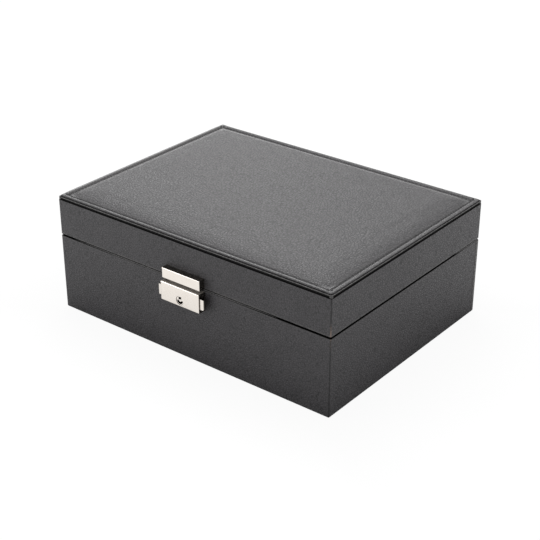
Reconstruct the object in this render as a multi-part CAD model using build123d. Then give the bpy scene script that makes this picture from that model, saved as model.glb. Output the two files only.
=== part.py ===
from build123d import *
import os

# A travel jewellery box of board wrapped in leatherette: a base and a hinged lid with a padded
# cover, a squeeze lock on the front, and a lift-out ring tray over divided bays.
# Millimetres. +Z is up, +X is to the right as the lock is faced, and the lock is on the -Y side.
# The origin is the middle of the face that the box rests on.

# Whole box, measured over the leatherette
box_width = 240.0
box_depth = 180.7
base_height = 58.4
parting_gap = 0.8
lid_height = 27.5

# Boards and the leatherette round them
wall_board = 6.0
bottom_board_thickness = 4.0
top_board_thickness = 4.0
skin = 0.8
board_corner_round = 0.2
rim_round = 0.6
foot_round = 0.2
turn_over_width = 15.0
foot_sheet_thickness = 0.3
foot_sheet_inset = 0.3

# Padded cover on the lid
cover_edge_thickness = 0.85
cover_corner_round = 1.3
cover_edge_round = 0.3
shadow_gap = 1.3
shadow_gap_depth = 3.0
crease_inset = 0.6
cover_rim_width = 3.8
cover_rim_height = 1.0
cover_rim_round = 0.75
stitch_channel_width = 1.5
stitch_channel_depth = 0.6
pad_edge_height = 0.85
pad_shoulder_width = 16.0
pad_shoulder_rise = 2.0
pad_crown = 0.7
pad_place_shares = (-1.0, -0.95, -0.86, 0.0, 0.86, 0.95, 1.0)
pad_rise_shares = (0.1, 0.6, 0.9, 1.0, 0.9, 0.6, 0.1)
pad_arc_rise_share = 0.72

# Lining, liner panels and dividers in the base
floor_lining_thickness = 1.5
liner_thickness = 3.5
lower_divider_thickness = 2.5
lower_divider_drop = 5.1
lower_back_bay = 62.0
lower_cross_count = 2
panel_round = 0.8

# Lift-out tray
tray_height = 20.0
tray_drop = 0.4
tray_play = 1.2
tray_wall = 3.0
tray_floor_thickness = 2.0
tray_divider_thickness = 2.5
tray_divider_drop = 1.5
ring_bay_width = 77.0
long_bay_width = 64.0
ring_roll_count = 8
ring_roll_width = 14.4
ring_roll_height = 15.5
ring_roll_gap = 0.4
ring_roll_end_gap = 0.9
ring_roll_side_share = 0.62
pull_width = 12.0
pull_length = 14.0
pull_thickness = 0.6

# Mirror and lining in the lid
lining_panel_thickness = 2.0
lining_play = 0.3
mirror_width = 170.0
mirror_depth = 112.0
mirror_thickness = 2.0
mirror_lip = 3.0
mirror_lip_thickness = 0.6
mirror_play = 0.2

# Stop hinges
hinge_spacing = 130.0
hinge_length = 30.0
leaf_thickness = 1.0
leaf_depth = 6.4
leaf_gap = 0.2
leaf_seat_play = 0.2
knuckle_radius = 1.8
knuckle_stand_off = 0.15
knuckle_gap = 0.25
lid_knuckle_length = 10.0
hinge_pin_radius = 1.0
hinge_pin_clearance = 0.05
heel_reach = 4.6
heel_thickness = 0.9
heel_angle = 50.75
hinge_screw_spacing = 20.0
hinge_screw_radius = 0.9
hinge_screw_head_radius = 1.8
hinge_screw_head_depth = 0.8
hinge_screw_length = 9.0

# Lock case on the base
lock_case_width = 34.2
lock_case_height = 14.2
lock_case_proud = 6.5
lock_case_drop = 1.0
lock_sheet = 0.8
lock_edge_round = 0.5
lock_top_round = 0.75
lock_plate_thickness = 0.8
lock_play = 0.1
lock_screw_spacing = 18.0
lock_screw_rise = 2.8
machine_screw_radius = 1.25
machine_screw_head_radius = 2.3
machine_screw_head_depth = 1.2

# Key plug and the post that the key slides on
plug_radius = 3.25
plug_clearance = 0.05
plug_recess = 0.3
plug_flange_rim = 0.25
plug_flange_thickness = 0.7
plug_end_gap = 0.3
plug_edge_round = 0.25
key_bore_radius = 1.2
key_slot_width = 2.4
key_slot_reach = 2.7
key_way_radius = 2.65
key_post_radius = 1.0
key_post_recess = 0.5
cam_reach = 4.2
cam_width = 2.0
cam_thickness = 0.8

# Squeeze tabs, their springs and the hooks on them
tab_rise = 3.0
tab_height = 7.8
tab_reach = 3.3
tab_edge_round = 1.2
tab_play = 0.15
tab_travel = 2.0
tab_plug_gap = 1.0
tab_shoulder_length = 2.0
tab_shoulder_rise = 1.0
hook_heel = 0.7
hook_width = 2.1
hook_height = 2.0
hook_drop = 1.1
hook_gap = 0.3
spring_strip = 0.3
spring_width = 2.2
spring_height = 3.6
spring_bend = 0.7
spring_post_width = 2.4
spring_post_height = 2.4
spring_post_gap = 0.4

# Hasp on the lid
hasp_width = 33.5
hasp_height = 7.75
hasp_proud = 5.1
hasp_rise = 0.05
hasp_edge_round = 0.5
tongue_thickness = 1.0
tongue_plate_gap = 0.25
tongue_tab_gap = 0.45
tongue_leg_width = 3.4
tongue_leg_drop = 9.9
tongue_bar_gap = 0.5
tongue_root = 2.2
tongue_slot_play = 0.35
notch_depth = 1.2
notch_height = 2.4
hasp_screw_spacing = 20.0
hasp_screw_gap = 0.5
hasp_screw_bite = 3.0

# Screw recesses, and how far a cut runs past what it cuts
recess_length_share = 1.2
recess_width_share = 0.35
recess_depth_share = 0.6
overrun = 1.0

# Levels, from the rest face up
wrap_bottom = foot_sheet_thickness
base_board_z = (wrap_bottom + skin, base_height - skin)
floor_z = base_board_z[0] + bottom_board_thickness
bay_floor_z = floor_z + floor_lining_thickness
tray_top = base_height - tray_drop
tray_seat = tray_top - tray_height
tray_inside_z = tray_seat + tray_floor_thickness
lid_bottom = base_height + parting_gap
lid_top = lid_bottom + lid_height
lid_board_z = (lid_bottom + skin, lid_top - skin)
top_board_z = (lid_board_z[1] - top_board_thickness, lid_board_z[1])
lining_panel_z = (top_board_z[0] - lining_panel_thickness, top_board_z[0])
mirror_z = (lining_panel_z[0] - mirror_thickness, lining_panel_z[0])
mirror_frame_z = (mirror_z[0] - mirror_lip_thickness, lining_panel_z[0])
cover_z = lid_top + shadow_gap
pad_z = cover_z + cover_edge_thickness

# Widths and depths, from the outside in
wrap_corner = board_corner_round + skin
carcass_width = box_width - 2 * skin
carcass_depth = box_depth - 2 * skin
inner_width = carcass_width - 2 * wall_board
inner_depth = carcass_depth - 2 * wall_board
room_width = inner_width - 2 * skin
room_depth = inner_depth - 2 * skin
bay_width = inner_width - 2 * liner_thickness
bay_depth = inner_depth - 2 * liner_thickness
tray_width = room_width - 2 * tray_play
tray_depth = room_depth - 2 * tray_play
tray_inside_width = tray_width - 2 * tray_wall
tray_inside_depth = tray_depth - 2 * tray_wall
front = -box_depth / 2
back = box_depth / 2

nodes = {}


def span(middle, size):
    """The two ends of a stretch about its middle."""
    return (middle - size / 2, middle + size / 2)


def block(x, y, z):
    """A box between two places along each axis, given in either order."""
    middle = [(a + b) / 2 for a, b in (x, y, z)]
    size = [abs(b - a) for a, b in (x, y, z)]
    return Pos(*middle) * Box(*size)


def panel(x, y, z, run):
    """A lined panel along one axis, with its two top edges rounded over."""
    shape = block(x, y, z)
    return fillet(shape.edges().filter_by(run).group_by(Axis.Z)[-1], panel_round)


def slab(width, depth, z, corner, low_round=0, high_round=0):
    """A flat slab about the box's middle, with round corners and, where asked, round rims."""
    shape = Pos(0, 0, z[0]) * extrude(RectangleRounded(width, depth, corner), z[1] - z[0])
    if high_round:
        shape = fillet(shape.edges().group_by(Axis.Z)[-1], high_round)
    if low_round:
        shape = fillet(shape.edges().group_by(Axis.Z)[0], low_round)
    return shape


def rod(start, direction, radius, length):
    """A round bar from a point, along a direction."""
    return Plane(origin=start, z_dir=direction) * Cylinder(
        radius, length, align=(Align.CENTER, Align.CENTER, Align.MIN)
    )


def screw_body(start, direction, radius, head_radius, head_depth, length):
    """A countersunk screw with its flat head face at start, without the driver recess."""
    low = (Align.CENTER, Align.CENTER, Align.MIN)
    shape = Cylinder(radius, length, align=low) + Cone(head_radius, radius, head_depth, align=low)
    return Plane(origin=start, z_dir=direction) * shape


def screw(start, direction, radius, head_radius, head_depth, length):
    """A countersunk screw with a cross recess in its head."""
    arm = Box(
        head_radius * recess_length_share,
        head_radius * recess_width_share,
        2 * head_depth * recess_depth_share,
    )
    recess = Plane(origin=start, z_dir=direction) * (arm + Rot(0, 0, 90) * arm)
    return screw_body(start, direction, radius, head_radius, head_depth, length) - recess


def group(solids):
    """Several like solids kept apart in one node."""
    return Compound(children=list(solids))


# Boards of the base and of the lid: front and back run the full width, the sides fit between
def carcass(prefix, z):
    rounded = slab(carcass_width, carcass_depth, z, board_corner_round)
    for side, sign in (("front", -1), ("back", 1)):
        y = (sign * inner_depth / 2, sign * (carcass_depth / 2 + overrun))
        nodes[f"{prefix}_{side}_board"] = rounded & block(span(0, box_width), y, z)
    for side, sign in (("left", -1), ("right", 1)):
        x = (sign * inner_width / 2, sign * carcass_width / 2)
        nodes[f"{prefix}_{side}_board"] = block(x, span(0, inner_depth), z)


carcass("base", base_board_z)
carcass("lid", lid_board_z)
nodes["base_bottom_board"] = block(
    span(0, inner_width), span(0, inner_depth), (base_board_z[0], floor_z)
)
nodes["lid_top_board"] = block(span(0, inner_width), span(0, inner_depth), top_board_z)


# Leatherette: an outer skin, folded over the rim and down the inside, and over the other edge
def leather_wrap(outer_z, low_round, board_z, turn_in_z, room_z, fold_z):
    shape = slab(box_width, box_depth, outer_z, wrap_corner, low_round, rim_round)
    core = block(span(0, inner_width), span(0, inner_depth), turn_in_z)
    shape -= slab(carcass_width, carcass_depth, board_z, board_corner_round) - core
    shape -= block(span(0, room_width), span(0, room_depth), room_z)
    fold = 2 * turn_over_width
    return shape - block(span(0, box_width - fold), span(0, box_depth - fold), fold_z)


nodes["base_leather_wrap"] = leather_wrap(
    (wrap_bottom, base_height),
    foot_round,
    base_board_z,
    (tray_seat, base_board_z[1] + overrun),
    (tray_seat - overrun, base_height + overrun),
    (wrap_bottom - overrun, base_board_z[0] + overrun),
)
nodes["lid_leather_wrap"] = leather_wrap(
    (lid_bottom, lid_top),
    rim_round,
    lid_board_z,
    (lid_board_z[0] - overrun, top_board_z[0]),
    (lid_bottom - overrun, top_board_z[0] + overrun),
    (lid_board_z[1] - overrun, lid_top + overrun),
)
nodes["bottom_sheet"] = slab(
    box_width - 2 * foot_sheet_inset,
    box_depth - 2 * foot_sheet_inset,
    (0, foot_sheet_thickness),
    wrap_corner - foot_sheet_inset,
)

# Cover board on the lid: it stands on a narrower step, which leaves the dark line round it
step = 2 * shadow_gap_depth
nodes["cover_board"] = slab(
    box_width, box_depth, (cover_z, pad_z), cover_corner_round, cover_edge_round, cover_edge_round
) + slab(box_width - step, box_depth - step, (lid_top, cover_z), cover_corner_round)


# Padded cover: a rolled rim, a sewn channel inside it and a crowned field
def pad_section(width, y, share):
    rise = pad_shoulder_rise * share
    edge_z = pad_z + pad_edge_height
    half = width / 2
    inner = half - pad_shoulder_width
    shoulder_x = half - pad_shoulder_width * (1 - pad_arc_rise_share)
    shoulder_z = edge_z + rise * pad_arc_rise_share
    low_left, low_right = (-half, pad_z), (half, pad_z)
    edge_left, edge_right = (-half, edge_z), (half, edge_z)
    top_left, top_right = (-inner, edge_z + rise), (inner, edge_z + rise)
    outline = (
        Line(low_left, low_right)
        + Line(low_right, edge_right)
        + ThreePointArc(edge_right, (shoulder_x, shoulder_z), top_right)
        + ThreePointArc(top_right, (0, edge_z + rise + pad_crown * share), top_left)
        + ThreePointArc(top_left, (-shoulder_x, shoulder_z), edge_left)
        + Line(edge_left, low_left)
    )
    return Plane(origin=(0, y, 0), x_dir=(1, 0, 0), z_dir=(0, -1, 0)) * make_face(outline)


rim_outer_width = box_width - 2 * crease_inset
rim_outer_depth = box_depth - 2 * crease_inset
channel_outer_width = rim_outer_width - 2 * cover_rim_width
channel_outer_depth = rim_outer_depth - 2 * cover_rim_width
field_width = channel_outer_width - 2 * stitch_channel_width
field_depth = channel_outer_depth - 2 * stitch_channel_width
rim_top = pad_z + cover_rim_height
rim = slab(
    rim_outer_width, rim_outer_depth, (pad_z, rim_top), cover_corner_round, high_round=cover_rim_round
)
channel = slab(
    channel_outer_width,
    channel_outer_depth,
    (rim_top - stitch_channel_depth, rim_top + overrun),
    cover_corner_round,
)
pad_sections = [
    pad_section(field_width, field_depth / 2 * place_share, rise_share)
    for place_share, rise_share in zip(pad_place_shares, pad_rise_shares)
]
field = loft(pad_sections)
nodes["cover_pad"] = rim - channel + field

# Floor lining, liner panels that carry the tray, and dividers of the lower bays
nodes["base_floor_lining"] = block(
    span(0, inner_width), span(0, inner_depth), (floor_z, bay_floor_z)
)
liner_z = (bay_floor_z, tray_seat)
for side, sign in (("front", -1), ("back", 1)):
    y = (sign * bay_depth / 2, sign * inner_depth / 2)
    nodes[f"base_{side}_liner"] = block(span(0, inner_width), y, liner_z)
for side, sign in (("left", -1), ("right", 1)):
    x = (sign * bay_width / 2, sign * inner_width / 2)
    nodes[f"base_{side}_liner"] = block(x, span(0, bay_depth), liner_z)
lower_divider_height = tray_seat - lower_divider_drop - bay_floor_z
divider_z = (bay_floor_z, bay_floor_z + lower_divider_height)
long_divider_back = bay_depth / 2 - lower_back_bay
long_divider_front = long_divider_back - lower_divider_thickness
nodes["lower_long_divider"] = panel(
    span(0, bay_width), (long_divider_front, long_divider_back), divider_z, Axis.X
)
cross_pitch = (bay_width + lower_divider_thickness) / (lower_cross_count + 1)
nodes["lower_cross_dividers"] = group(
    panel(
        span((index - (lower_cross_count - 1) / 2) * cross_pitch, lower_divider_thickness),
        (-bay_depth / 2, long_divider_front),
        divider_z,
        Axis.Y,
    )
    for index in range(lower_cross_count)
)

# Lift-out tray: a floor, four walls on it, dividers and a bay of ring rolls
nodes["tray_floor"] = block(span(0, tray_width), span(0, tray_depth), (tray_seat, tray_inside_z))
tray_wall_z = (tray_inside_z, tray_top)
for side, sign in (("front", -1), ("back", 1)):
    y = (sign * tray_inside_depth / 2, sign * tray_depth / 2)
    nodes[f"tray_{side}_wall"] = panel(span(0, tray_width), y, tray_wall_z, Axis.X)
for side, sign in (("left", -1), ("right", 1)):
    x = (sign * tray_inside_width / 2, sign * tray_width / 2)
    nodes[f"tray_{side}_wall"] = panel(x, span(0, tray_inside_depth), tray_wall_z, Axis.Y)
tray_divider_z = (tray_inside_z, tray_top - tray_divider_drop)
ring_bay_left = -tray_inside_width / 2
ring_bay_right = ring_bay_left + ring_bay_width
middle_bay_left = ring_bay_right + tray_divider_thickness
long_bay_left = tray_inside_width / 2 - long_bay_width
middle_bay_right = long_bay_left - tray_divider_thickness
nodes["tray_left_divider"] = panel(
    (ring_bay_right, middle_bay_left), span(0, tray_inside_depth), tray_divider_z, Axis.Y
)
nodes["tray_right_divider"] = panel(
    (middle_bay_right, long_bay_left), span(0, tray_inside_depth), tray_divider_z, Axis.Y
)
ring_bay_front = -tray_inside_depth / 2
ring_roll_pitch = ring_roll_width + ring_roll_gap
ring_bay_back = ring_bay_front + ring_roll_gap + ring_roll_count * ring_roll_pitch
nodes["tray_ring_bay_divider"] = panel(
    (ring_bay_left, ring_bay_right),
    (ring_bay_back, ring_bay_back + tray_divider_thickness),
    tray_divider_z,
    Axis.X,
)
middle_pitch = (tray_inside_depth + tray_divider_thickness) / 3
for side, sign in (("front", -1), ("back", 1)):
    y = span(sign * middle_pitch / 2, tray_divider_thickness)
    nodes[f"tray_middle_{side}_divider"] = panel(
        (middle_bay_left, middle_bay_right), y, tray_divider_z, Axis.X
    )


# A ring roll: foam with upright sides and a round top, which grips the rings between neighbours
def ring_roll(y):
    half = ring_roll_width / 2
    side_z = tray_inside_z + ring_roll_height * ring_roll_side_share
    top_z = tray_inside_z + ring_roll_height
    outline = (
        Line((-half, tray_inside_z), (half, tray_inside_z))
        + Line((half, tray_inside_z), (half, side_z))
        + ThreePointArc((half, side_z), (0, top_z), (-half, side_z))
        + Line((-half, side_z), (-half, tray_inside_z))
    )
    start = (ring_bay_left + ring_roll_end_gap, y, 0)
    section = Plane(origin=start, x_dir=(0, 1, 0), z_dir=(1, 0, 0)) * make_face(outline)
    return extrude(section, ring_bay_width - 2 * ring_roll_end_gap, dir=(1, 0, 0))


nodes["ring_rolls"] = group(
    ring_roll(ring_bay_front + ring_roll_gap + ring_roll_width / 2 + index * ring_roll_pitch)
    for index in range(ring_roll_count)
)
for side, sign in (("left", -1), ("right", 1)):
    wall_x = sign * tray_inside_width / 2
    nodes[f"tray_{side}_pull"] = block(
        (wall_x, wall_x - sign * pull_thickness),
        span(0, pull_width),
        (tray_top - pull_length, tray_top),
    )

# Lining of the lid, with a mirror behind a lipped frame
lining_width = room_width - 2 * lining_play
lining_depth = room_depth - 2 * lining_play
nodes["lid_lining_panel"] = block(span(0, lining_width), span(0, lining_depth), lining_panel_z)
nodes["mirror_glass"] = block(span(0, mirror_width), span(0, mirror_depth), mirror_z)
mirror_pocket = block(
    span(0, mirror_width + 2 * mirror_play),
    span(0, mirror_depth + 2 * mirror_play),
    (mirror_z[0], mirror_z[1] + overrun),
)
mirror_window = block(
    span(0, mirror_width - 2 * mirror_lip),
    span(0, mirror_depth - 2 * mirror_lip),
    (mirror_frame_z[0] - overrun, mirror_frame_z[1] + overrun),
)
nodes["mirror_frame"] = (
    block(span(0, lining_width), span(0, lining_depth), mirror_frame_z)
    - mirror_pocket
    - mirror_window
)

# Stop hinges: leaves let into the rims, knuckles behind the rear face, heels that meet when open
hinge_axis_y = back + knuckle_stand_off + knuckle_radius
hinge_axis_z = base_height + parting_gap / 2
leaf_front = back - leaf_depth
leaf_back = hinge_axis_y - knuckle_radius - knuckle_gap
base_leaf_top = hinge_axis_z - leaf_gap / 2
lid_leaf_bottom = hinge_axis_z + leaf_gap / 2
base_leaf_z = (base_leaf_top - leaf_thickness, base_leaf_top)
lid_leaf_z = (lid_leaf_bottom, lid_leaf_bottom + leaf_thickness)
hinge_screw_y = back - skin - wall_board / 2
hinge_screw_size = (
    hinge_screw_radius,
    hinge_screw_head_radius,
    hinge_screw_head_depth,
    hinge_screw_length,
)


def heel(x, start, angle, z):
    """A stop plate that stands out from the hinge axis at an angle above the level."""
    plate = block(x, (start, heel_reach), z)
    return Pos(0, hinge_axis_y, hinge_axis_z) * Rot(angle, 0, 0) * plate


def knuckle(x, leaf_z, angle, heel_z, bore):
    """A knuckle with the neck that joins it to its leaf and the root of its heel."""
    shape = block(x, (leaf_back, hinge_axis_y), leaf_z)
    shape += rod((x[0], hinge_axis_y, hinge_axis_z), (1, 0, 0), knuckle_radius, x[1] - x[0])
    shape += heel(x, hinge_pin_radius, angle, heel_z)
    start = (x[0] - overrun, hinge_axis_y, hinge_axis_z)
    return shape - rod(start, (1, 0, 0), bore, x[1] - x[0] + 2 * overrun)


base_hinge_screws = []
lid_hinge_screws = []
for side, sign in (("left", -1), ("right", 1)):
    middle = sign * hinge_spacing / 2
    whole = span(middle, hinge_length)
    lid_part = span(middle, lid_knuckle_length)
    base_parts = (
        (whole[0], lid_part[0] - knuckle_gap),
        (lid_part[1] + knuckle_gap, whole[1]),
    )
    base_heel_z, lid_heel_z = (-heel_thickness, 0), (0, heel_thickness)
    base_leaf = block(whole, (leaf_front, leaf_back), base_leaf_z)
    for part in base_parts:
        base_leaf += knuckle(part, base_leaf_z, -heel_angle, base_heel_z, hinge_pin_radius)
    base_leaf += heel(whole, knuckle_radius + knuckle_gap, -heel_angle, base_heel_z)
    lid_leaf = block(whole, (leaf_front, leaf_back), lid_leaf_z)
    lid_bore = hinge_pin_radius + hinge_pin_clearance
    lid_leaf += knuckle(lid_part, lid_leaf_z, heel_angle, lid_heel_z, lid_bore)
    seat_x = span(middle, hinge_length + 2 * leaf_seat_play)
    seat_y = (leaf_front - leaf_seat_play, back + overrun)
    base_seat = block(seat_x, seat_y, (base_leaf_z[0], base_height + overrun))
    lid_seat = block(seat_x, seat_y, (lid_bottom - overrun, lid_leaf_z[1]))
    for name in ("base_leather_wrap", "base_back_board"):
        nodes[name] -= base_seat
    for name in ("lid_leather_wrap", "lid_back_board"):
        nodes[name] -= lid_seat
    for offset in span(0, hinge_screw_spacing):
        base_start = (middle + offset, hinge_screw_y, base_leaf_top)
        lid_start = (middle + offset, hinge_screw_y, lid_leaf_bottom)
        base_body = screw_body(base_start, (0, 0, -1), *hinge_screw_size)
        lid_body = screw_body(lid_start, (0, 0, 1), *hinge_screw_size)
        base_leaf -= base_body
        lid_leaf -= lid_body
        for part, body in (("base", base_body), ("lid", lid_body)):
            nodes[f"{part}_back_board"] -= body
            nodes[f"{part}_leather_wrap"] -= body
        base_hinge_screws.append(screw(base_start, (0, 0, -1), *hinge_screw_size))
        lid_hinge_screws.append(screw(lid_start, (0, 0, 1), *hinge_screw_size))
    nodes[f"hinge_{side}_base_leaf"] = base_leaf
    nodes[f"hinge_{side}_lid_leaf"] = lid_leaf
    pin_start = (whole[0], hinge_axis_y, hinge_axis_z)
    nodes[f"hinge_{side}_pin"] = rod(pin_start, (1, 0, 0), hinge_pin_radius, hinge_length)
nodes["hinge_base_screws"] = group(base_hinge_screws)
nodes["hinge_lid_screws"] = group(lid_hinge_screws)

# Depths in the lock, from its face back to the box
case_front = front - lock_case_proud
case_inside = case_front + lock_sheet
plate_front = front - lock_plate_thickness
tongue_back = plate_front - tongue_plate_gap
tongue_front = tongue_back - tongue_thickness
tab_front = case_inside + tab_play
tab_back = tongue_front - tongue_tab_gap

# Heights in the lock
case_top = base_height - lock_case_drop
case_bottom = case_top - lock_case_height
cavity_z = (case_bottom + lock_sheet, case_top - lock_sheet)
plug_flange_radius = plug_radius + plug_flange_rim
keyhole_z = cavity_z[0] + lock_play + plug_flange_radius
tab_z = (case_bottom + tab_rise, case_bottom + tab_rise + tab_height)
hook_z = (tab_z[1] - hook_drop - hook_height, tab_z[1] - hook_drop)
spring_foot = keyhole_z + cam_reach + spring_post_gap
spring_z = (spring_foot, spring_foot + spring_height)

# Distances from the middle of the lock
case_half = lock_case_width / 2
cavity_half = case_half - lock_sheet
tab_inner = plug_flange_radius + tab_travel + tab_plug_gap
tab_outer = case_half + tab_reach
hook_x = (tab_inner + hook_heel, tab_inner + hook_heel + hook_width)
leg_x = (hook_x[1] + hook_gap, hook_x[1] + hook_gap + tongue_leg_width)

# Lock case: a folded nickel cover, open at the back, with a slot for the hasp and one for each tab
case = block(span(0, lock_case_width), (case_front, front), (case_bottom, case_top))
case_face_edges = case.edges().group_by(Axis.Y)[0]
case = fillet(case_face_edges.sort_by(Axis.Z)[-1:], lock_top_round)
case = fillet(case.edges().group_by(Axis.Y)[0].sort_by(Axis.Z)[:-1], lock_edge_round)
case -= block(span(0, 2 * cavity_half), (case_inside, front + overrun), cavity_z)
plug_hole_radius = plug_radius + plug_clearance
case -= rod((0, case_front - overrun, keyhole_z), (0, 1, 0), plug_hole_radius, lock_case_proud)
case -= block(
    span(0, 2 * (case_half + overrun)),
    (case_inside, tab_back + tab_play),
    (tab_z[0] - tab_play, tab_z[1] + tab_play),
)
nodes["lock_case"] = case - block(
    span(0, 2 * (leg_x[1] + tongue_slot_play)),
    (tongue_front - tongue_slot_play, tongue_back + tongue_plate_gap),
    (cavity_z[1] - overrun, case_top + overrun),
)

# Back plate of the lock, with the post that both springs push on, and its screws from inside
plate = block(
    span(0, 2 * (cavity_half - lock_play)),
    (plate_front, front),
    (cavity_z[0] + lock_play, cavity_z[1] - lock_play),
)
plate += block(
    span(0, spring_post_width),
    (tab_front, plate_front),
    (spring_z[0], spring_z[0] + spring_post_height),
)
key_post_length = front - case_front - key_post_recess
key_post = rod((0, front, keyhole_z), (0, -1, 0), key_post_radius, key_post_length)
plate -= key_post
nodes["key_post"] = key_post
screw_face_y = front + 2 * skin + wall_board
machine_screw_size = (machine_screw_radius, machine_screw_head_radius, machine_screw_head_depth)
lock_screws = []
for x in span(0, lock_screw_spacing):
    start = (x, screw_face_y, cavity_z[0] + lock_screw_rise)
    length = screw_face_y - plate_front
    body = screw_body(start, (0, -1, 0), *machine_screw_size, length)
    plate -= body
    nodes["base_front_board"] -= body
    nodes["base_leather_wrap"] -= body
    lock_screws.append(screw(start, (0, -1, 0), *machine_screw_size, length))
nodes["lock_back_plate"] = plate
nodes["lock_screws"] = group(lock_screws)

# Key plug: it turns in the round hole of the case and has a keyhole through it
plug_back = plate_front - plug_end_gap
plug_front = case_front + plug_recess
flange_front = case_inside + lock_play
plug = rod((0, plug_front, keyhole_z), (0, 1, 0), plug_radius, plug_back - plug_front)
plug = fillet(plug.edges().group_by(Axis.Y)[0], plug_edge_round)
plug += rod((0, flange_front, keyhole_z), (0, 1, 0), plug_flange_radius, plug_flange_thickness)
plug += block(
    span(0, cam_width), (plug_back - cam_thickness, plug_back), (keyhole_z, keyhole_z + cam_reach)
)
bore_start = (0, plug_front - overrun, keyhole_z)
bore_length = plug_back - plug_front + 2 * overrun
way_y = (plug_front - overrun, plug_back - cam_thickness)
key_way = rod(bore_start, (0, 1, 0), key_way_radius, way_y[1] - way_y[0])
key_way &= block(span(0, 2 * key_way_radius), way_y, (keyhole_z - key_way_radius, keyhole_z))
plug -= rod(bore_start, (0, 1, 0), key_bore_radius, bore_length)
plug -= key_way
nodes["key_plug"] = plug - block(
    span(0, key_slot_width), way_y, (keyhole_z, keyhole_z + key_slot_reach)
)

# Squeeze tabs with their hooks, and a strip spring bent over between each tab and the post
def spring_bow(sign, inset, y, bend):
    """The upright outline of the bent strip, or of the space under it, run along Y."""
    x = (sign * (spring_post_width / 2 + inset), sign * (tab_inner - inset))
    low = spring_z[0] - (overrun if inset else 0)
    bow = block(x, y, (low, spring_z[1] - inset))
    top_edges = bow.edges().filter_by(Axis.Y).group_by(Axis.Z)[-1]
    return fillet(top_edges, bend)


for side, sign in (("left", -1), ("right", 1)):
    tab = block((sign * tab_inner, sign * tab_outer), (tab_front, tab_back), tab_z)
    outer_edges = tab.edges().group_by(Axis.X)[0 if sign < 0 else -1]
    tab = fillet(outer_edges, tab_edge_round)
    shoulder_outer = cavity_half - lock_play
    tab += block(
        (sign * (shoulder_outer - tab_shoulder_length), sign * shoulder_outer),
        (tab_front, tab_back),
        (tab_z[0] - tab_shoulder_rise, tab_z[1] + tab_shoulder_rise),
    )
    hook_sides = (sign * hook_x[0], sign * hook_x[1])
    nodes[f"{side}_tab"] = tab + block(hook_sides, (tab_back, tongue_back), hook_z)
    spring_y = span((tab_front + tab_back) / 2, spring_width)
    under_y = (spring_y[0] - overrun, spring_y[1] + overrun)
    under = spring_bow(sign, spring_strip, under_y, spring_bend - spring_strip)
    nodes[f"{side}_tab_spring"] = spring_bow(sign, 0, spring_y, spring_bend) - under

# Hasp on the lid: a solid plate with a two-legged tongue that drops into the case
hasp_z = (lid_bottom + hasp_rise, lid_bottom + hasp_rise + hasp_height)
hasp = block(span(0, hasp_width), (front - hasp_proud, front), hasp_z)
hasp = fillet(hasp.edges().group_by(Axis.Y)[0], hasp_edge_round)
tongue_bar_z = (case_top + tongue_bar_gap, hasp_z[0] + tongue_root)
leg_bottom = lid_bottom - tongue_leg_drop
tongue = block(span(0, 2 * leg_x[1]), (tongue_front, tongue_back), (leg_bottom, tongue_bar_z[1]))
tongue -= block(
    span(0, 2 * leg_x[0]),
    (tongue_front - overrun, tongue_back + overrun),
    (leg_bottom - overrun, tongue_bar_z[0]),
)
notch_z = span((hook_z[0] + hook_z[1]) / 2, notch_height)
tongue -= block(
    span(0, 2 * (leg_x[0] + notch_depth)), (tongue_front - overrun, tongue_back + overrun), notch_z
)
nodes["hasp_tongue"] = tongue
hasp -= tongue
hasp_screws = []
for x in span(0, hasp_screw_spacing):
    start = (x, screw_face_y, tongue_bar_z[1] + hasp_screw_gap + machine_screw_radius)
    length = screw_face_y - front + hasp_screw_bite
    body = screw_body(start, (0, -1, 0), *machine_screw_size, length)
    hasp -= body
    nodes["lid_front_board"] -= body
    nodes["lid_leather_wrap"] -= body
    hasp_screws.append(screw(start, (0, -1, 0), *machine_screw_size, length))
nodes["hasp_plate"] = hasp
nodes["hasp_screws"] = group(hasp_screws)

os.makedirs("parts", exist_ok=True)
for name, shape in nodes.items():
    export_step(shape, f"parts/{name}.step")
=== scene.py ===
"""A black leatherette travel jewellery box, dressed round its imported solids, in metres."""
import math

import bpy
import numpy as np
from mathutils import Matrix, Vector, noise


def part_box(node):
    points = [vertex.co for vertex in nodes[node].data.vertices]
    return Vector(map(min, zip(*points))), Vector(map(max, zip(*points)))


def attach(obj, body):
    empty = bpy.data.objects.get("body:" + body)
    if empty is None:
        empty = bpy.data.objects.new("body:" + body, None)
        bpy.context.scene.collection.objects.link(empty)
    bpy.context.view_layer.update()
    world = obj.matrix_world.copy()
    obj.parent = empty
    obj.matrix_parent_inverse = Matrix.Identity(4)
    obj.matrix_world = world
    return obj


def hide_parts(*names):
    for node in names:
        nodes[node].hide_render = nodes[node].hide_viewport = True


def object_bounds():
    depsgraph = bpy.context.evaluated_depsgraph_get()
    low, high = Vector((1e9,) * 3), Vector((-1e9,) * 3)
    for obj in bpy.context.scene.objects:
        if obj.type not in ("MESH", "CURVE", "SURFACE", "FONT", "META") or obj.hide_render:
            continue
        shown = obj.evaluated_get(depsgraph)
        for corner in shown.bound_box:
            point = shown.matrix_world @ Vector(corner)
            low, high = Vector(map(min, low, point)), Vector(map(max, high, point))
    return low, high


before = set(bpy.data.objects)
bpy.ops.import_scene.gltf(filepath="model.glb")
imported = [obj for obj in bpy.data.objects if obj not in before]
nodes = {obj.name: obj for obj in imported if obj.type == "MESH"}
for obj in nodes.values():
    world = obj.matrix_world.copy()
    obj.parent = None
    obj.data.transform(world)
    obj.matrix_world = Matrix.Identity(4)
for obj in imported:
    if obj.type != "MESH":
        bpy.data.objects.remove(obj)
cad_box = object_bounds()
mm = 0.001


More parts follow.
